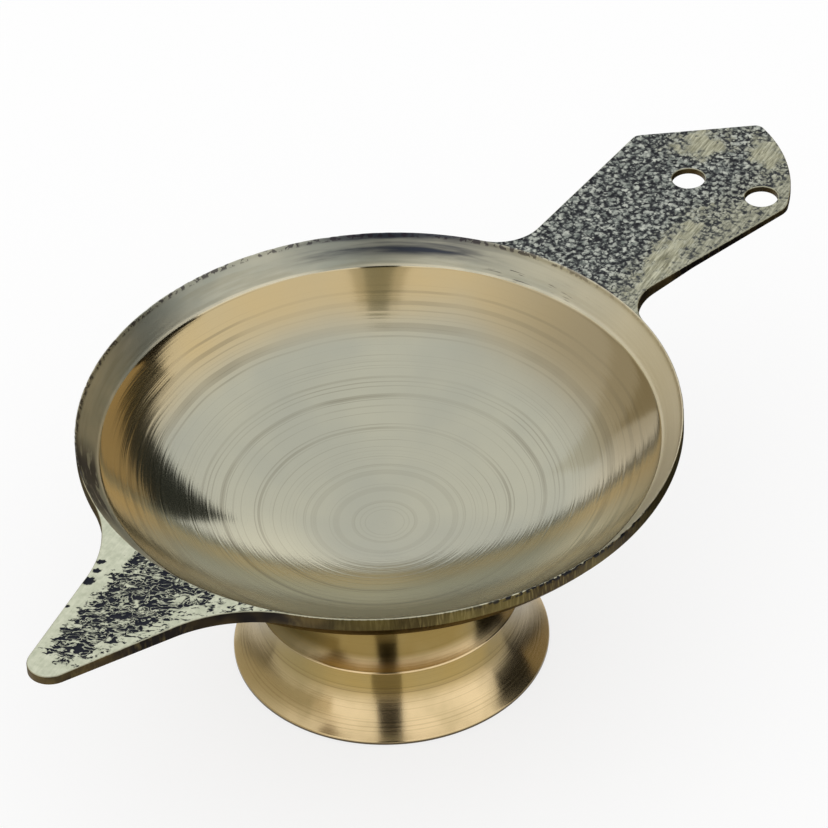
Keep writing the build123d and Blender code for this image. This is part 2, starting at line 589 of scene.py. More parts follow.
def handle_outline():
    """Outline of the handle from its root on the right round the tip to its root on the left."""
    tip = np.array((HANDLE_TIP, HANDLE_TIP_OFFSET))
    roots, shoulders, fillets = [], [], []
    for side in (-1, 1):
        root = np.array((RIM_RADIUS, side * HANDLE_ROOT_HALF))
        shoulder = np.array((HANDLE_SHOULDER, side * HANDLE_SHOULDER_HALF))
        edge = (shoulder - root) / np.linalg.norm(shoulder - root)
        normal = turned_left(edge) * side
        roots.append(root)
        shoulders.append(shoulder)
        fillets.append(root_fillet(root, normal, side * HANDLE_ROOT_ANGLE))
    chord = shoulders[0] - tip
    half = np.linalg.norm(chord) / 2
    curve = (half**2 + HANDLE_BULGE**2) / (2 * HANDLE_BULGE)
    outward = turned_left(chord) / (2 * half)
    centre = (tip + shoulders[0]) / 2 + outward * (HANDLE_BULGE - curve)
    leave = turned_left(shoulders[0] - centre)
    arrive = turned_left(tip - centre)
    right = rounded(roots[0], shoulders[0], shoulders[0] + leave, RIGHT_ROUNDING)
    apex = rounded(tip - arrive, tip, shoulders[1], APEX_ROUNDING)
    left = rounded(tip, shoulders[1], roots[1], LEFT_ROUNDING)
    gable = arc(centre, curve, heading(right[-1] - centre), heading(apex[0] - centre))[1:-1]
    return np.concatenate((fillets[0], right, gable, apex, left, fillets[1][::-1]))


def spout_outline():
    """Outline of the spout from its root on the left round the tip to its root on the right."""
    slant = radians(SPOUT_HALF_ANGLE)
    apex = np.array((-SPOUT_TIP - SPOUT_ROUNDING * (1 / sin(slant) - 1), 0.0))
    fillets = []
    for side in (1, -1):
        normal = np.array((-sin(slant), side * cos(slant)))
        fillets.append(root_fillet(apex, normal, 180 - side * SPOUT_ROOT_ANGLE))
    centre = np.array((SPOUT_ROUNDING - SPOUT_TIP, 0.0))
    ends = 90 + SPOUT_HALF_ANGLE
    tip = [arc(centre, SPOUT_ROUNDING, start, end) for start, end in ((ends, 180), (180, -ends))]
    return np.concatenate((fillets[0], *tip, fillets[1][::-1]))


def evened(outline):
    """The same outline with its long straight stretches divided and doubled points left out."""
    points = [outline[0]]
    for point in outline[1:]:
        gap = np.linalg.norm(point - points[-1])
        if gap < 1e-6:
            continue
        count = max(1, round(gap / OUTLINE_STEP))
        points += list(points[-1] + (point - points[-1]) * (np.arange(1, count + 1) / count)[:, None])
    return np.array(points)


def outward_normals(outline):
    """Normals of an outline, which run straight out from the axis at its ends."""
    slopes = np.gradient(outline, axis=0)
    normals = np.stack((slopes[:, 1], -slopes[:, 0]), axis=1)
    normals /= np.linalg.norm(normals, axis=1)[:, None]
    for end in (0, -1):
        normals[end] = outline[end] / np.linalg.norm(outline[end])
    return normals


def inside(points, loop):
    """Whether each point lies inside a closed loop."""
    found = np.zeros(len(points), bool)
    for (x0, y0), (x1, y1) in zip(loop, np.roll(loop, -1, axis=0)):
        crosses = (y0 > points[:, 1]) != (y1 > points[:, 1])
        if y0 != y1:
            found ^= crosses & (points[:, 0] < x0 + (points[:, 1] - y0) / (y1 - y0) * (x1 - x0))
    return found


def clearance(points, loop):
    """Distance of each point from a closed loop."""
    least = np.full(len(points), np.inf)
    for start, end in zip(loop, np.roll(loop, -1, axis=0)):
        side = end - start
        share = np.clip((points - start) @ side / (side @ side), 0, 1)
        least = np.minimum(least, np.linalg.norm(points - start - share[:, None] * side, axis=1))
    return least


def triangulated(loops, step):
    """Flat sheet of nearly equal triangles inside the first loop and outside the others."""
    low, high = loops[0].min(axis=0), loops[0].max(axis=0)
    points = []
    for row, y in enumerate(np.arange(low[1], high[1], step * sqrt(0.75))):
        shift = step / 2 * (row % 2)
        points += [(x, y) for x in np.arange(low[0] + shift, high[0], step)]
    points = np.array(points)
    margin = SHEET_MARGIN * step
    keep = inside(points, loops[0]) & (clearance(points, loops[0]) > margin)
    for loop in loops[1:]:
        keep &= ~inside(points, loop) & (clearance(points, loop) > margin)
    corners, edges = [], []
    for loop in loops:
        first = len(corners)
        corners += [tuple(p) for p in loop]
        edges += [(first + i, first + (i + 1) % len(loop)) for i in range(len(loop))]
    corners += [tuple(p) for p in points[keep]]
    places, _, faces, *_ = delaunay_2d_cdt([tuple(map(float, p)) for p in corners], edges, [], 2, 1e-7)
    places = np.array([tuple(p) for p in places])
    centres = np.array([places[list(face)].mean(axis=0) for face in faces])
    wanted = inside(centres, loops[0])
    for loop in loops[1:]:
        wanted &= ~inside(centres, loop)
    return places, [face for face, good in zip(faces, wanted) if good]


def ring_between(start, end, radius):
    """Points of the turned rim strictly between two angles, which join the arm to it."""
    step = 360 / SEGMENTS
    first = round(start / step)
    last = round(end / step)
    way = 1 if last > first else -1
    return np.array([radius * direction(k * step) for k in range(first + way, last, way)])


def thickness_at(x):
    """Thickness of the arms, which thin towards their tips."""
    reaches = (-SPOUT_TIP, -RIM_RADIUS, RIM_RADIUS, HANDLE_TAPER, HANDLE_TIP)
    depths = (SPOUT_TIP_THICKNESS, RIM_FACE, RIM_FACE, HANDLE_TAPER_THICKNESS, HANDLE_TIP_THICKNESS)
    return float(np.interp(x, reaches, depths))


def arm_mesh(name, outline, holes, materials):
    """Plate of the handle or the spout, open where it meets the rim, with a cast skin on top."""
    outline = evened(outline)
    normals = outward_normals(outline)
    start, end = heading(outline[0]) % 360, heading(outline[-1]) % 360
    if start > end:
        start -= 360
    top_inset, _ = edge_rows(RIM_FACE)[0]
    low_inset, _ = edge_rows(RIM_FACE)[-1]
    rays = np.array([direction(a) for a in np.linspace(0, 360, HOLE_STEPS, endpoint=False)])
    sheet = bmesh.new()
    skin = sheet.verts.layers.float.new("skin")
    zone = sheet.faces.layers.int.new("zone")

    def cap(inset, step, number, depth_at):
        """Top or underside of the plate, with its holes."""
        root = ring_between(end, start, RIM_RADIUS - inset)
        loops = [np.concatenate((outline - inset * normals, root))]
        for centre in holes:
            loops.append(np.array(centre) + (HOLE_RADIUS + inset) * rays)
        places, faces = triangulated(loops, step)
        room = clearance(places, loops[0])
        for loop in loops[1:]:
            room = np.minimum(room, clearance(places, loop))
        corners = []
        for (x, y), gap in zip(places, room):
            corner = sheet.verts.new((x * MM, y * MM, (RIM_HEIGHT - depth_at(x)) * MM))
            corner[skin] = min(gap / SKIN_FADE, 1.0) if number == ARM_TOP else 0.0
            corners.append(corner)
        for face in faces:
            sheet.faces.new([corners[i] for i in face])[zone] = number

    def wall(line, outward, closed):
        """Edge of the plate or of a hole."""
        columns = []
        for (x, y), (nx, ny) in zip(line, outward):
            column = []
            for inset, depth in edge_rows(thickness_at(x)):
                place = (x - inset * nx, y - inset * ny, RIM_HEIGHT - depth)
                column.append(sheet.verts.new([c * MM for c in place]))
            columns.append(column)
        pairs = list(zip(columns, columns[1:]))
        if closed:
            pairs.append((columns[-1], columns[0]))
        for one, other in pairs:
            for k in range(len(one) - 1):
                corners = (one[k], other[k], other[k + 1], one[k + 1])
                sheet.faces.new(corners)[zone] = ARM_SIDE

    cap(top_inset, SKIN_STEP, ARM_TOP, lambda x: 0.0)
    cap(low_inset, UNDERSIDE_STEP, ARM_UNDER, thickness_at)
    wall(outline, normals, False)
    for centre in holes:
        wall(np.array(centre) + HOLE_RADIUS * rays, -rays, True)
    bmesh.ops.remove_doubles(sheet, verts=sheet.verts, dist=WELD)
    mesh = bpy.data.meshes.new(name)
    sheet.to_mesh(mesh)
    sheet.free()
    return evaluated(new_object(name, mesh), skin_tree(materials), {"Pit depth": PIT_DEPTH})


def skin_tree(materials):
    """Sinks the pits of the cast skin into the tops of the arms."""
    tree, given = tree_with("Cast skin", {"Pit depth": "NodeSocketFloat"})
    plate = given["Geometry"]
    place = plate.node("GeometryNodeInputPosition").scaled(1 / MM)
    depth = 1 - cast_relief(place)["height"]
    sunk = depth * named(plate, "skin", "FLOAT") * given["Pit depth"] * -MM
    plate = plate.node(
        "GeometryNodeSetPosition",
        None,
        {"Geometry": plate, "Offset": sunk.join(0.0, 0.0, sunk)},
    )
    finish_tree(tree, plate, materials)
    return tree


def swung(x, y, way):
    """Distances along and across a direction, seen from above."""
    right, ahead = way
    return x * right + y * ahead, y * right - x * ahead


def blob(place, centre, radii, turn=0.0):
    """Distance from a centre in units of the radii of an ellipse, seen from above."""
    x, y, _ = place.split()
    along, across = swung(x - centre[0], y - centre[1], direction(turn))
    along = along / radii[0]
    across = across / radii[1]
    return (along * along + across * across).math("SQRT")


def edge_at(x, edge):
    """Offset of a slanting edge from the lamp's middle line, at a place along the line."""
    start, offset, slant = edge
    return offset + (x - start) * slant


# Filed patches of the handle: middle, radii and turn
FILED_PATCHES = (
    ((64.0, 4.2), (4.6, 3.4), -40.0),
    ((67.2, -3.2), (5.6, 2.6), 50.0),
    ((44.0, -6.6), (11.5, 2.9), 13.0),
)

# Loose black marks on the spout's border: middle and radius
SPOUT_MARKS = (((-38.2, 7.2), 0.55), ((-39.6, 6.5), 0.55), ((-41.5, 6.1), 0.95), ((-46.0, 4.9), 0.3))

# Flaked middle of the spout: its grain, and its edges by start, offset and slant
FLAKE_WAY = (0.664, -0.748)
FLAKE_LEFT = (-36.0, 5.3, 0.213)
FLAKE_RIGHT = (-52.2, -1.7, -0.30)
FLAKE_END = -53.0
SCRATCH_WAY = (0.97, 0.22)


def lump(place, size):
    """Rounded lumps about size across, from 0 between them to 1 on top."""
    distance = place.node(
        "ShaderNodeTexVoronoi",
        {"feature": "F1", "voronoi_dimensions": "2D"},
        {"Vector": place, "Scale": 1 / size},
        "Distance",
    )
    return 1 - distance / 0.62


def cast_relief(place):
    """Pits and lumps of the cast skin on the arms, and where they have been filed bright."""
    x, y, _ = place.split()
    flat = place.join(x, y, 0.0)
    ragged = flat.noise(1.6, 3.0, 3.0) - 0.5
    tiny = flat.noise(0.35, 7.0, 3.0, 0.0, 0.6) - 0.5

    # Handle: rounded lumps of two sizes, worn flat in places
    shift_x = flat.noise(0.8, 31.0, 2.0) - 0.5
    shift_y = flat.noise(0.8, 37.0, 2.0) - 0.5
    bent = place.join(x + shift_x * 0.9, y + shift_y * 0.9, 0.0)
    grains = flat.noise(0.62, 13.0, 3.0, 0.5, 0.62) - 0.5
    lumps = lump(bent, 0.9).most(lump(bent, 0.5) * 0.8) * 0.6
    lumps = lumps + grains * 1.7 + ragged * 0.5 + 0.2
    filed = (ragged * 6.0 - y).rise(2.0, 10.0) * 0.75
    for centre, radii, turn in FILED_PATCHES:
        patch = (blob(flat, centre, radii, turn) + ragged * 2.4 + grains * 1.2).fall(0.2, 1.35)
        filed = filed.most(patch)
    handle = lumps.most(filed * (0.45 + lumps * 0.6)).rise(0.05, 0.95)

    # Spout: a flaked black middle inside a filed border
    along, across = swung(x, y, FLAKE_WAY)
    strokes = place.join(along * 0.5, across, 0.0)
    flakes = strokes.noise(0.9, 5.0, 3.0, 1.5, 0.55) + tiny * 0.1
    curls = abs(strokes.noise(1.3, 23.0, 3.0, 2.0) - 0.5).fall(0.011, 0.033)
    torn = ragged * 3.0 + (flakes - 0.5) * 5.0
    left = y - edge_at(x, FLAKE_LEFT) + torn
    right = edge_at(x, FLAKE_RIGHT) - y + torn
    beyond = FLAKE_END - x + torn
    outside = left.most(right).most(beyond)
    limit = outside.fall(-0.5, 0.3) * 0.14 + left.most(beyond).fall(-0.3, 0.2) * 0.445
    spout = (flakes - limit).rise(-0.025, 0.025).most(curls * 0.9)
    for centre, radius in SPOUT_MARKS:
        mark = blob(flat, centre, (radius, radius * 0.75), -40.0) + ragged * 1.6 + tiny * 1.8
        spout = spout.least(mark.rise(0.75, 1.0))

    on_handle = x.rise(-1.0, 1.0)
    height = spout + on_handle * (handle - spout)
    return {"height": height, "on_handle": on_handle, "filed": filed, "flat": flat}


# Materials

GRAIN_TURN = 0.25
BUMP_DISTANCE = 0.0001
WHITE = (1.0, 1.0, 1.0)

# Sides in degrees round the axis from the handle: the arms, and where painted sheen, highlights and dark
# reflections lie
HANDLE_SIDE = 0.0
SPOUT_SIDE = 180.0
WALL_DARK_REFLECTION_SIDE = -38.0
WALL_SHEEN_SIDE = -122.0
FLOOR_REFLECTION_SIDE = -172.0
LIP_HIGHLIGHT_SIDE = -42.0
FOOT_LEFT_DARK_SIDE = 152.0
FOOT_RIGHT_DARK_SIDE = -58.0

# Marks on the lip, in radians round the axis from the handle
DASHES_ANGLE = 0.08
SMEAR_ANGLE = 0.66
STAIN_ANGLE = 2.56

# Heights of two turned lines on the foot
LOWER_LINE = 5.3
UPPER_LINE = 5.9

# Bowl
BOWL_GREY = (0.40, 0.40, 0.325)
BOWL_PALE = (0.46, 0.45, 0.35)
# Painted warm reflection: golden band under the lip
WALL_GOLD_REFLECTION = (0.60, 0.44, 0.20)
# Painted dark reflection on the right wall
WALL_DARK_REFLECTION = (0.28, 0.23, 0.14)
# Painted sheen on the front wall
WALL_SHEEN = (0.84, 0.755, 0.555)
# Painted pale reflection on the bowl's floor, front left
FLOOR_PALE_REFLECTION = (0.66, 0.62, 0.45)
TOOL_LINE = (0.15, 0.13, 0.085)
# Painted highlight along the lip's inner ridge
RIDGE_HIGHLIGHT = (0.74, 0.68, 0.51)

# Lip and rim
LIP_GREY = (0.37, 0.38, 0.315)
LIP_PALE = (0.52, 0.50, 0.39)
LIP_STREAK = (0.30, 0.275, 0.19)
LIP_SMEAR = (0.05, 0.056, 0.072)
LIP_STAIN = (0.04, 0.03, 0.04)
# Painted highlight on one side of the lip
LIP_HIGHLIGHT = (0.78, 0.705, 0.53)
RIM_BROWN = (0.055, 0.038, 0.016)
RIM_GOLD = (0.16, 0.125, 0.04)
RIM_FILED = (0.26, 0.205, 0.08)
RIM_WORN = (0.64, 0.62, 0.46)
RIM_PIT = (0.012, 0.013, 0.016)

# Underside and hidden faces
UNDER_DEEP = (0.34, 0.23, 0.07)
UNDER_GOLD = (0.56, 0.41, 0.17)
TOOL_SHADOW = (0.16, 0.10, 0.03)
UNDER_EDGE = (0.2, 0.15, 0.06)
CORE_DARK = (0.16, 0.11, 0.045)
CORE_LIGHT = (0.36, 0.26, 0.10)

# Handle and spout
LUMP_GREY = (0.15, 0.172, 0.155)
# Pale lump tops, partly bare metal and partly painted highlight
LUMP_PALE_HIGHLIGHT = (0.58, 0.60, 0.53)
PIT_BLACK = (0.011, 0.012, 0.016)
PIT_GREY = (0.075, 0.083, 0.081)
FILED_DARK = (0.19, 0.185, 0.12)
FILED_BRIGHT = (0.56, 0.55, 0.405)
BORDER_GREY = (0.46, 0.485, 0.36)
BORDER_PALE = (0.65, 0.665, 0.52)
FLAKE_BLACK = (0.008, 0.010, 0.018)
CAST_BLACK = (0.02, 0.016, 0.014)
CAST_BROWN = (0.12, 0.085, 0.035)
CAST_FILED = (0.22, 0.17, 0.07)
CAST_WORN = (0.50, 0.49, 0.36)
ARM_BROWN = (0.13, 0.09, 0.04)
ARM_GOLD = (0.34, 0.25, 0.10)
ARM_PIT = (0.04, 0.035, 0.03)

# Foot and braze
FOOT_GOLD = (0.44, 0.31, 0.105)
# Painted shade: upper cove under the bowl
FOOT_COVE_SHADE = (0.29, 0.20, 0.065)
# Pale polished brass of the skirt, also used for the painted highlight above the step
FOOT_POLISHED_AND_HIGHLIGHT = (0.84, 0.645, 0.365)
FOOT_CLOUD = (0.40, 0.315, 0.145)
# Painted dark reflection on the left of the foot, and painted shade in its upper cove
FOOT_LEFT_DARK_REFLECTION = (0.23, 0.19, 0.085)
FOOT_COVE_DEEP_SHADE = (0.10, 0.08, 0.032)
# Painted dark reflection on the right of the foot
FOOT_RIGHT_DARK_REFLECTION = (0.20, 0.165, 0.09)
FOOT_LINE = (0.22, 0.15, 0.045)
FOOT_EDGE = (0.10, 0.075, 0.04)
BRAZE_DARK = (0.42, 0.31, 0.12)
BRAZE_LIGHT = (0.62, 0.47, 0.20)


def cleared(owner):
    """Empties the node tree of a material or a world."""
    owner.use_nodes = True
    owner.node_tree.nodes.clear()
    return Field(owner.node_tree)


def surfaced(shader, output="ShaderNodeOutputMaterial"):
    """Ends a node tree with its shader."""
    leave = shader.tree.nodes.new(output)
    shader.tree.links.new(shader.socket, leave.inputs["Surface"])


def material(build):
    """Material named for the function that lays its nodes and returns its colour, roughness and bump."""
    made = bpy.data.materials.new(build.__name__)
    start = cleared(made)
    look = build(start.node("ShaderNodeTexCoord", None, None, "Object").scaled(1 / MM))
    sockets = {
        "Base Color": look["colour"],
        "Metallic": look.get("metallic", 1.0),
        "Roughness": look["roughness"],
        "Anisotropic": look.get("grain", 0.0),
        "Anisotropic Rotation": GRAIN_TURN,
        "Specular Tint": colour(look.get("edge", WHITE)),
    }
    if "bump" in look:
        bump = {"Strength": look["strength"], "Distance": BUMP_DISTANCE, "Height": look["bump"]}
        sockets["Normal"] = start.node("ShaderNodeBump", None, bump)
    surfaced(start.node("ShaderNodeBsdfPrincipled", None, sockets))
    return made


def file_marks(place):
    """Strokes of a file up and down the edge of the rim."""
    _, _, height = place.split()
    return stretched(place, 170.0, height * 0.5).noise(1.0, 5.0, 3.0)


def edge_tone(place, mark):
    """Dark brown of the filed edge, more golden between the file marks."""
    cloud = place.noise(9.0, 2.0, 2.0)
    tone = cloud.rise(0.35, 0.65).blend(RIM_BROWN, RIM_GOLD)
    return (mark.rise(0.45, 0.75) * 0.7).blend(tone, RIM_FILED)


def round_axis(place):
    """Radius, angle about the axis and height of a place."""
    x, y, z = place.split()
    return (x * x + y * y).math("SQRT"), y.math("ARCTAN2", x), z


def stretched(place, along, across):
    """Place for noise that runs round the rim: its units to the radian, and the number across."""
    x, y, _ = place.split()
    radius, _, _ = round_axis(place)
    return place.join(x / radius * along, y / radius * along, across)


def toward(place, angle):
    """How far a place lies to one side of the axis: 1 at the angle, -1 opposite."""
    x, y, _ = place.split()
    radius, _, _ = round_axis(place)
    right, ahead = direction(angle)
    return (x * right + y * ahead) / radius


def turned_inside(place):
    """Inside of the bowl: pale worn brass with tool rings, a painted golden reflection under the lip, a
    painted dark reflection on one wall, painted sheen at the front, a painted pale reflection on the
    floor and a painted highlight along the lip's ridge.
    """
    radius, _, _ = round_axis(place)
    bent = radius + place.noise(14.0, 1.0, 2.0) * 0.6
    fine = bent.ripple(0.3, 4.0, 4.0)
    broad = bent.ripple(1.1, 9.0, 3.0)
    cloud = place.noise(13.0, 6.0, 3.0)
    tone = cloud.rise(0.3, 0.7).blend(BOWL_GREY, BOWL_PALE)
    # Golden band under the lip all round is a painted warm reflection
    gold = (radius + (cloud - 0.5) * 2.5).rise(24.5, 31.0) * (0.5 + place.noise(9.0, 15.0, 3.0) * 0.5)
    tone = gold.blend(tone, WALL_GOLD_REFLECTION)
    # Darker right wall is a painted dark reflection
    painted_darkening = toward(place, WALL_DARK_REFLECTION_SIDE).rise(0.4, 0.95) * radius.rise(21.0, 30.0)
    tone = (painted_darkening * 0.9).blend(tone, WALL_DARK_REFLECTION)
    # Paler front wall is painted sheen
    front_sheen = toward(place, WALL_SHEEN_SIDE).rise(0.1, 0.8) * radius.rise(20.0, 27.0)
    tone = (front_sheen * 0.9).blend(tone, WALL_SHEEN)
    # Paler front-left floor of the bowl is a painted reflection
    pale = toward(place, FLOOR_REFLECTION_SIDE).rise(0.45, 0.95)
    pale = pale * radius.rise(6.0, 13.0) * radius.fall(18.0, 26.0)
    tone = (pale * 0.6).blend(tone, FLOOR_PALE_REFLECTION)
    faded = place.noise(15.0, 12.0, 2.0).rise(0.36, 0.62) * radius.rise(7.0, 13.0)
    lines = broad.fall(0.35, 0.42) * 0.36 + fine.fall(0.3, 0.42) * 0.36
    tone = (lines * (0.25 + faded * 0.75)).blend(tone, TOOL_LINE)
    # Bright line at the lip ridge is a painted highlight
    worn = radius.rise(LIP_RADIUS - 0.22, LIP_RADIUS - 0.08) * cloud.rise(0.3, 0.6)
    tone = (worn * 0.7).blend(tone, RIDGE_HIGHLIGHT)
    return {
        "colour": tone,
        "roughness": 0.08 + fine * 0.06,
        "grain": 0.3,
        "bump": fine + broad * 0.8,
        "strength": 0.08,
    }


def turned_lip(place):
    """Lip: smooth grey-green brass, smeared and stained in places, with a painted highlight on one side
    and along its inner ridge.
    """
    radius, angle, _ = round_axis(place)
    fine = radius.ripple(0.2, 2.0, 3.0)
    cloud = stretched(place, 9.0, radius * 0.9).noise(3.0, 3.0, 3.0)
    tone = cloud.rise(0.35, 0.65).blend(LIP_GREY, LIP_PALE)
    streaks = stretched(place, 9.0, radius * 6.0).noise(3.0, 8.0, 4.0, 0.3)
    tone = (streaks.rise(0.45, 0.7) * 0.4).blend(tone, LIP_STREAK)
    smear = abs(angle - SMEAR_ANGLE).fall(0.15, 0.55)
    smear = smear * radius.rise(LIP_RADIUS + 0.4, LIP_RADIUS + 1.1)
    tone = (smear * (0.25 + streaks.rise(0.3, 0.66) * 0.75)).blend(tone, LIP_SMEAR)
    specks = stretched(place, 30.0, radius * 9.0).noise(3.0, 8.0, 4.0)
    stain = abs(angle - STAIN_ANGLE).fall(0.1, 0.28)
    stain = stain * radius.rise(LIP_RADIUS + 0.2, LIP_RADIUS + 0.5) * specks.rise(0.4, 0.47)
    thin = stretched(place, 40.0, radius * 24.0).noise(3.0, 11.0, 2.0)
    dashes = abs(angle - DASHES_ANGLE).fall(0.16, 0.3)
    dashes = dashes * radius.fall(LIP_RADIUS + 0.8, LIP_RADIUS + 1.4) * thin.rise(0.6, 0.66)
    grime = radius.rise(RIM_RADIUS - 0.45, RIM_RADIUS - 0.3)
    grime = grime * place.noise(0.6, 21.0, 3.0).rise(0.5, 0.56) * 0.9
    tone = (stain.most(dashes).most(grime) * 0.85).blend(tone, LIP_STAIN)
    # Paler lip on one side is a painted highlight
    side_highlight = toward(place, LIP_HIGHLIGHT_SIDE).rise(0.55, 1.0)
    tone = (side_highlight * 0.8).blend(tone, LIP_HIGHLIGHT)
    # Bright line at the lip ridge is a painted highlight
    worn = radius.fall(LIP_RADIUS + 0.08, LIP_RADIUS + 0.2) * cloud.rise(0.3, 0.6)
    tone = (worn * 0.7).blend(tone, RIDGE_HIGHLIGHT)
    return {
        "colour": tone,
        "roughness": 0.34 + fine * 0.08,
        "grain": 0.4,
        "bump": fine,
        "strength": 0.08,
    }


def filed_rim(place):
    """Edge of the rim: dark brown with upright file marks, a bright worn top and pits in two places."""
    _, angle, height = round_axis(place)
    mark = file_marks(place)
    tone = edge_tone(place, mark)
    cast = toward(place, SPOUT_SIDE).rise(0.74, 0.895)
    cast = cast.most(toward(place, HANDLE_SIDE).rise(0.86, 0.93))
    tone = cast.blend(tone, cast_edge(place)[0])
    worn = (height + (mark - 0.5) * 0.2).rise(RIM_HEIGHT - 0.12, RIM_HEIGHT - 0.02)
    tone = worn.blend(tone, RIM_WORN)
    pitted = rim_wear(angle + angle.fall(-0.01, 0.0) * (2 * pi))
    pits = place.noise(0.7, 14.0, 3.0).rise(0.44, 0.5)
    pits = pits * height.rise(RIM_HEIGHT - 0.6, RIM_HEIGHT - 0.3)
    tone = (pits * pitted).blend(tone, RIM_PIT)
    return {"colour": tone, "roughness": 0.34 + mark * 0.15, "bump": mark, "strength": 0.5}


def turned_underside(place):
    """Underside of the bowl: filed dark next to the rim, then golden brass with tool rings."""
    radius, _, height = round_axis(place)
    fine = (radius + height).ripple(0.4, 3.0, 4.0)
    cloud = place.noise(10.0, 4.0, 3.0)
    tone = cloud.rise(0.3, 0.7).blend(UNDER_DEEP, UNDER_GOLD)
    tone = (fine.fall(0.25, 0.5) * 0.5).blend(tone, TOOL_SHADOW)
    mark = file_marks(place)
    near_rim = (radius + (cloud - 0.5) * 2.0).rise(30.0, 32.5)
    tone = near_rim.blend(tone, edge_tone(place, mark))
    return {
        "colour": tone,
        "roughness": 0.26 + fine * 0.12,
        "grain": 0.6,
        "edge": UNDER_EDGE,
        "bump": fine + mark * near_rim,
        "strength": 0.2,
    }


def hidden_seat(place):
    """Bare brass inside the joint and the rough core of the hollow."""
    rough = place.noise(0.8, 2.0, 4.0)
    tone = rough.blend(CORE_DARK, CORE_LIGHT)
    return {"colour": tone, "roughness": 0.5 + rough * 0.2, "bump": rough, "strength": 0.5}


def cast_top(place):
    """Tops of the arms: blue-black pits between grey lumps whose paler tops are partly painted
    highlight, bright where filed.
    """
    relief = cast_relief(place)
    flat = relief["flat"]
    height = relief["height"]
    x, y, _ = flat.split()
    along, across = swung(x, y, SCRATCH_WAY)
    scratch = place.join(along, across * 10.0, 0.0).noise(3.0, 6.0, 4.0, 0.0, 0.65)
    shade = flat.noise(0.8, 17.0, 3.0, 0.0, 0.6)
    light = shade.rise(0.3, 0.7).blend(LUMP_GREY, LUMP_PALE_HIGHLIGHT)
    # Pits are dark oxide; lump tops are paler than their sides, partly bare metal and partly painted
    # highlight
    skin = height.rise(0.0, 0.5).blend(PIT_BLACK, PIT_GREY)
    skin = height.rise(0.35, 0.85).blend(skin, light)
    bright = scratch.rise(0.35, 0.68).blend(FILED_DARK, FILED_BRIGHT)
    handle = (relief["filed"] * height.rise(0.25, 0.6)).blend(skin, bright)
    border = (scratch * 0.4 + shade * 0.6).rise(0.3, 0.7).blend(BORDER_GREY, BORDER_PALE)
    spout = height.blend(FLAKE_BLACK, border)
    tone = relief["on_handle"].blend(spout, handle)
    return {
        "colour": tone,
        "roughness": 0.5 - height * 0.16,
        "metallic": 0.8 + height * 0.2,
        "bump": height + scratch * 0.2,
        "strength": 0.5,
    }


def cast_edge(place):
    """Nearly black cast edge, browner where a file has passed, and the file marks on it."""
    x, y, height = place.split()
    mark = place.join(x * 2.5 + y * 2.5, height * 0.4, 0.0).noise(0.8, 9.0, 3.0)
    cloud = place.noise(5.0, 3.0, 2.0)
    tone = cloud.rise(0.4, 0.65).blend(CAST_BLACK, CAST_BROWN)
    return (mark.rise(0.5, 0.8) * 0.6).blend(tone, CAST_FILED), mark


def cast_side(place):
    """Sides of the arms: the cast edge under a bright worn corner."""
    _, _, height = place.split()
    tone, mark = cast_edge(place)
    worn = (height + (mark - 0.5) * 0.12).rise(RIM_HEIGHT - 0.12, RIM_HEIGHT - 0.03)
    tone = worn.blend(tone, CAST_WORN)
    return {"colour": tone, "roughness": 0.4 + mark * 0.2, "bump": mark, "strength": 0.4}


def cast_underside(place):
    """Undersides of the arms: brown cast brass."""
    rough = place.noise(1.1, 4.0, 4.0)
    cloud = place.noise(7.0, 8.0, 2.0)
    tone = cloud.rise(0.3, 0.7).blend(ARM_BROWN, ARM_GOLD)
    tone = rough.fall(0.3, 0.5).blend(tone, ARM_PIT)
    return {"colour": tone, "roughness": 0.42 + rough * 0.2, "bump": rough, "strength": 0.6}


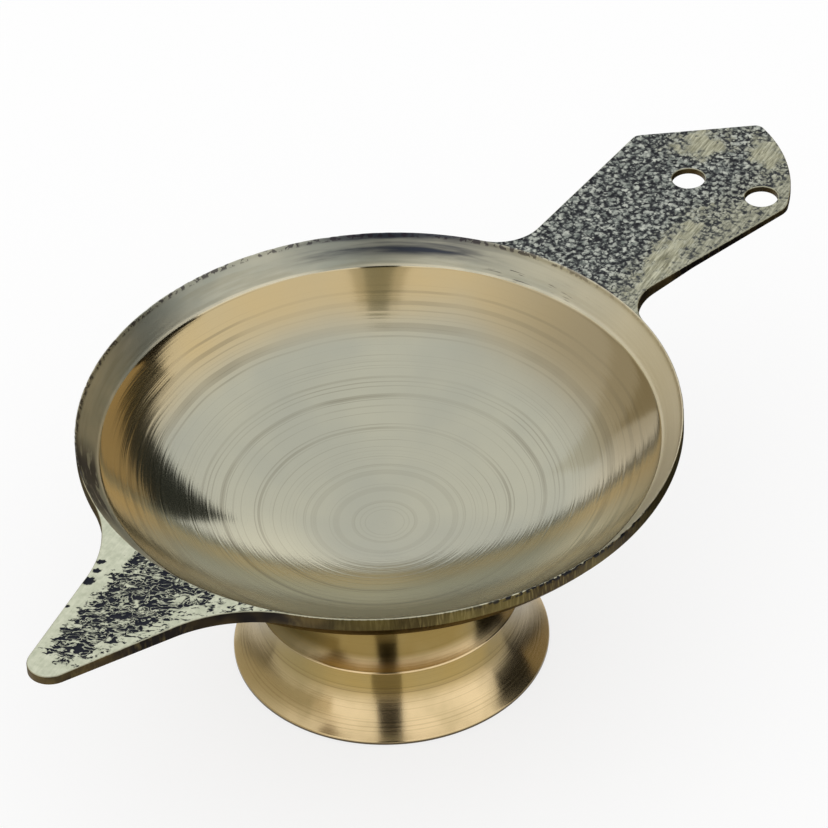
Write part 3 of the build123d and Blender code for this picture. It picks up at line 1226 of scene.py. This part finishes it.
def turned_foot(place):
    """Outside of the foot: polished brass, deeper gold in the lower cove, painted shade in the upper
    cove under the bowl, a painted highlight above the step and painted dark reflections on two sides.
    """
    _, _, height = round_axis(place)
    fine = height.ripple(0.2, 6.0, 4.0)
    broad = height.ripple(0.9, 2.0, 2.0)
    skirt = height.fall(3.4, 6.2)
    # Bright strip above the step is a painted highlight
    step_highlight = height.fall(STEP_HEIGHT + 0.3, STEP_HEIGHT + 1.5)
    step_highlight = step_highlight * height.rise(LEDGE_HEIGHT, LEDGE_HEIGHT + 0.2)
    # Upper cove, above the step, is darker: painted shade under the bowl
    tone = height.rise(STEP_HEIGHT - 0.2, STEP_HEIGHT).blend(FOOT_GOLD, FOOT_COVE_SHADE)
    tone = skirt.most(step_highlight).blend(tone, FOOT_POLISHED_AND_HIGHLIGHT)
    cloud = place.noise(7.0, 5.0, 3.0)
    tone = (cloud.rise(0.45, 0.75) * 0.5).blend(tone, FOOT_CLOUD)
    upper = height.rise(STEP_HEIGHT - 0.2, STEP_HEIGHT + 0.1)
    patchy = (cloud - 0.5) * 0.3
    # Darker left side of the foot is a painted dark reflection, deepest in the upper cove as painted
    # shade under the bowl
    painted_darkening = (toward(place, FOOT_LEFT_DARK_SIDE) + patchy).rise(0.66, 0.95) * (0.6 + upper * 0.3)
    tone = painted_darkening.blend(tone, upper.blend(FOOT_LEFT_DARK_REFLECTION, FOOT_COVE_DEEP_SHADE))
    # Darker right side of the foot is a painted dark reflection
    right_darkening = (toward(place, FOOT_RIGHT_DARK_SIDE) + patchy).rise(0.72, 0.97)
    tone = (right_darkening * 0.7).blend(tone, FOOT_RIGHT_DARK_REFLECTION)
    tone = (fine.fall(0.25, 0.5) * 0.25).blend(tone, FOOT_LINE)
    lines = abs(height - LOWER_LINE).fall(0.03, 0.12)
    lines = lines.most(abs(height - UPPER_LINE).fall(0.03, 0.1) * 0.6)
    tone = (lines * 0.4).blend(tone, TOOL_SHADOW)
    edge = height.fall(BASE_EDGE - 0.2, BASE_EDGE)
    tone = edge.blend(tone, FOOT_EDGE)
    return {
        "colour": tone,
        "roughness": 0.17 + fine * 0.08,
        "grain": 0.85,
        "bump": fine + broad,
        "strength": 0.06,
    }


def braze_metal(place):
    """Thin line of brazing metal, turned flush."""
    radius, angle, _ = round_axis(place)
    cloud = place.join(angle * 13.0, radius * 0.5, 0.0).noise(2.0, 3.0, 2.0)
    tone = cloud.rise(0.3, 0.7).blend(BRAZE_DARK, BRAZE_LIGHT)
    return {"colour": tone, "roughness": 0.3 + cloud * 0.1}


# The lamp


def in_root(x, y):
    """Whether a place on the rim lies where the handle or the spout grows out of it."""
    angle = abs(degrees(atan2(y, x)))
    return angle < HANDLE_ROOT_ANGLE or angle > 180 - SPOUT_ROOT_ANGLE


def crisp(edge):
    """Whether an edge is a real corner of the piece and not part of a smooth surface."""
    if len(edge.link_faces) != 2:
        return True
    one, other = edge.link_faces
    limit = SEAM_CREASE if one.material_index != other.material_index else CREASE
    return edge.calc_face_angle() > radians(limit)


def joined(name, meshes, labels):
    """One closed mesh from parts that meet edge to edge."""
    shell = bmesh.new()
    for mesh in meshes:
        order = [labels.index(used.name) if used else 0 for used in mesh.materials]
        first = len(shell.faces)
        shell.from_mesh(mesh)
        shell.faces.ensure_lookup_table()
        for face in shell.faces[first:]:
            face.material_index = order[face.material_index]
    bmesh.ops.remove_doubles(shell, verts=shell.verts, dist=WELD)
    bmesh.ops.recalc_face_normals(shell, faces=shell.faces)
    for face in shell.faces:
        face.smooth = True
    for edge in shell.edges:
        edge.smooth = not crisp(edge)
    whole = bpy.data.meshes.new(name)
    shell.to_mesh(whole)
    shell.free()
    for label in labels:
        whole.materials.append(bpy.data.materials[label])
    # The grain of the turned finish runs round the middle of this space
    whole.use_auto_texspace = False
    whole.texspace_location = (0.0, 0.0, 0.0)
    whole.texspace_size = (HANDLE_TIP * MM, HANDLE_TIP * MM, RIM_HEIGHT * MM)
    return whole


def opened(mesh, rim_label):
    """The turned dish with its rim cut away where the arms grow out of it."""
    shell = bmesh.new()
    shell.from_mesh(mesh)
    rim = mesh.materials.find(rim_label)
    cut = []
    for face in shell.faces:
        x, y, _ = face.calc_center_median()
        if face.material_index == rim and in_root(x, y):
            cut.append(face)
    bmesh.ops.delete(shell, geom=cut, context="FACES")
    shell.to_mesh(mesh)
    shell.free()
    return mesh


def lamp_dish():
    """Bowl, handle and spout in one piece."""
    looks = {
        INSIDE: turned_inside,
        LIP: turned_lip,
        RIM: filed_rim,
        UNDER: turned_underside,
        SEAT: hidden_seat,
        ARM_TOP: cast_top,
        ARM_SIDE: cast_side,
        ARM_UNDER: cast_underside,
    }
    labels = {zone: material(build).name for zone, build in looks.items()}
    bowl = turned_mesh("bowl", dish_profile(), labels, SEGMENTS, BOWL_GROOVE_PITCH, 3.0)
    bowl = opened(bowl, labels[RIM])
    handle = arm_mesh("handle", handle_outline(), HOLES, labels)
    spout = arm_mesh("spout", spout_outline(), (), labels)
    dish = new_object("dish", joined("dish", (bowl, handle, spout), list(labels.values())))
    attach(dish, "root")
    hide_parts("lamp_dish")


def pedestal_foot():
    """Turned foot, which shares the rough finish of the hidden seat."""
    labels = {FOOT_OUTSIDE: material(turned_foot).name, FOOT_HIDDEN: hidden_seat.__name__}
    turned = turned_mesh("foot_turning", foot_profile(), labels, SEGMENTS // 2, FOOT_GROOVE_PITCH, 8.0)
    foot = new_object("foot", joined("foot", (turned,), list(labels.values())))
    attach(foot, "root")
    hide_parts("pedestal_foot")


def braze_joint():
    """The CAD solid with its own finish."""
    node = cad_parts["braze_joint"]
    node.data.materials.clear()
    node.data.materials.append(material(braze_metal))


# Stage, light and camera

FLOOR_HALF = 3.0
FLOOR_TONE = (0.97, 0.97, 0.97)
FLOOR_GLOW = 0.75
CARD_LIFT = 0.0004
CARD_DISTANCE = 0.6
CARD_COLUMNS = 13
CARD_ROWS = 25
LAMP_MIDDLE = 0.02
VIEW_HEADING = 43.5
VIEW_TILT = 39.3
VIEW_ROLL = -3.03
VIEW_PLACE = (-0.3194, -0.3087, 0.3977)
SENSOR_MM = 36.0
FOCAL_PIXELS = 5000
PHOTO_PIXELS = 828

# Cards round the lamp, as dark and golden things in a room show in the metal: name, azimuths from
# the right of the view, lower and upper edge in degrees at both azimuths, and tone
BLACK = (0.022, 0.021, 0.018)
DARK = (0.04, 0.042, 0.036)
GLOW = (0.43, 0.345, 0.21)
SIDE_HAZE = (0.66, 0.65, 0.6)
CARDS = (
    ("front_floor", (-103, -85), (-44, -44), (-3, -3), (0.34, 0.32, 0.27)),
    ("front_flag", (-103, -85), (-3, -3), (52, 52), BLACK),
    ("front_haze", (-102, -86), (52, 52), (73, 73), (0.34, 0.35, 0.31)),
    ("front_haze_left", (-109, -102), (52, 52), (70, 70), SIDE_HAZE),
    ("front_haze_right", (-86, -79), (52, 52), (70, 70), SIDE_HAZE),
    ("right_front_flag", (-12, 18), (-40, -40), (42, 38), BLACK),
    ("right_back_floor", (18, 65), (-40, -40), (0, 0), (0.06, 0.055, 0.04)),
    ("right_back_glow", (18, 42), (0, 0), (33, 22), GLOW),
    ("right_end_glow", (42, 65), (0, 0), (22, 11), GLOW),
    ("right_back_flag", (18, 42), (33, 22), (40, 30), DARK),
    ("right_end_flag", (42, 65), (22, 11), (30, 27.5), DARK),
    ("left_floor", (-240, -172), (-40, -40), (0, 0), (0.2, 0.18, 0.13)),
    ("left_flag", (-228, -136), (0, 0), (22, 24), (0.58, 0.53, 0.41)),
    ("left_haze", (-236, -130), (22, 24), (32, 32), (0.82, 0.79, 0.72)),
)


def photo_camera():
    """Camera at the photograph's viewing angle."""
    data = bpy.data.cameras.new("photo_view")
    data.sensor_width = SENSOR_MM
    data.lens = SENSOR_MM * FOCAL_PIXELS / PHOTO_PIXELS
    camera = new_object("photo_view", data)
    turn = Euler((radians(90 - VIEW_TILT), 0, radians(VIEW_HEADING - 90))).to_matrix()
    roll = Matrix.Rotation(radians(VIEW_ROLL), 3, "Z")
    camera.matrix_world = Matrix.Translation(VIEW_PLACE) @ (turn @ roll).to_4x4()
    bpy.context.scene.camera = camera


def white_world():
    """Plain white surround, which lights the lamp and shows behind it and in the metal."""
    world = bpy.data.worlds.new("white_surround")
    bpy.context.scene.world = world
    light = {"Color": colour(WHITE), "Strength": 1.0}
    surfaced(cleared(world).node("ShaderNodeBackground", None, light), "ShaderNodeOutputWorld")


def plain_material(name, tone):
    """Even glow of one tone."""
    made = bpy.data.materials.new(name)
    surfaced(cleared(made).node("ShaderNodeEmission", None, {"Color": colour(tone)}))
    return made


def floor():
    """White floor that keeps a soft shadow and otherwise looks like the surround."""
    made = bpy.data.materials.new("white_floor")
    start = cleared(made)
    kinds = ("Camera", "Glossy", "Transmission")
    paths = [start.node("ShaderNodeLightPath", None, None, f"Is {kind} Ray") for kind in kinds]
    seen = paths[0].most(paths[1]).most(paths[2])
    lit = start.node("ShaderNodeBsdfDiffuse", None, {"Color": colour(FLOOR_TONE)})
    plain = start.node("ShaderNodeEmission", None, {"Color": colour(WHITE), "Strength": 1.0})
    shares = {0: seen * FLOOR_GLOW, 1: lit, 2: plain}
    surfaced(start.node("ShaderNodeMixShader", None, shares))
    mesh = bpy.data.meshes.new("floor")
    corners = [(x * FLOOR_HALF, y * FLOOR_HALF, 0) for x, y in ((-1, -1), (1, -1), (1, 1), (-1, 1))]
    mesh.from_pydata(corners, [], [(0, 1, 2, 3)])
    mesh.materials.append(made)
    new_object("floor", mesh)


def flag(name, azimuths, lows, tops, tone):
    """Card that only reflections show, between two edges that slope from azimuth to azimuth.

    Below the horizon the card lies on the floor."""
    mesh = bpy.data.meshes.new(name)
    turns = np.radians(np.linspace(*azimuths, CARD_COLUMNS) + VIEW_HEADING - 90)
    low_edge = np.linspace(*lows, CARD_COLUMNS)
    top_edge = np.linspace(*tops, CARD_COLUMNS)
    corners = []
    for share in np.linspace(0.0, 1.0, CARD_ROWS):
        climbs = low_edge * (1 - share) + top_edge * share
        for turn, climb in zip(turns, np.radians(climbs)):
            flat = CARD_DISTANCE * cos(climb)
            if climb < 0:
                flat = min(CARD_DISTANCE, LAMP_MIDDLE / tan(-climb))
            height = CARD_DISTANCE * sin(max(climb, 0)) + CARD_LIFT
            corners.append((flat * cos(turn), flat * sin(turn), height))
    faces = []
    for row in range(CARD_ROWS - 1):
        for column in range(CARD_COLUMNS - 1):
            first = row * CARD_COLUMNS + column
            faces.append((first, first + 1, first + CARD_COLUMNS + 1, first + CARD_COLUMNS))
    mesh.from_pydata(corners, [], faces)
    mesh.materials.append(plain_material(name, tone))
    card = new_object(name, mesh)
    card.visible_camera = False
    card.visible_diffuse = False
    card.visible_shadow = False
    card.visible_transmission = False


def stage():
    """Surround, floor and cards."""
    white_world()
    floor()
    for card in CARDS:
        flag(*card)


bpy.context.scene.view_settings.view_transform = "Standard"
lamp_dish()
pedestal_foot()
braze_joint()
stage()
photo_camera()
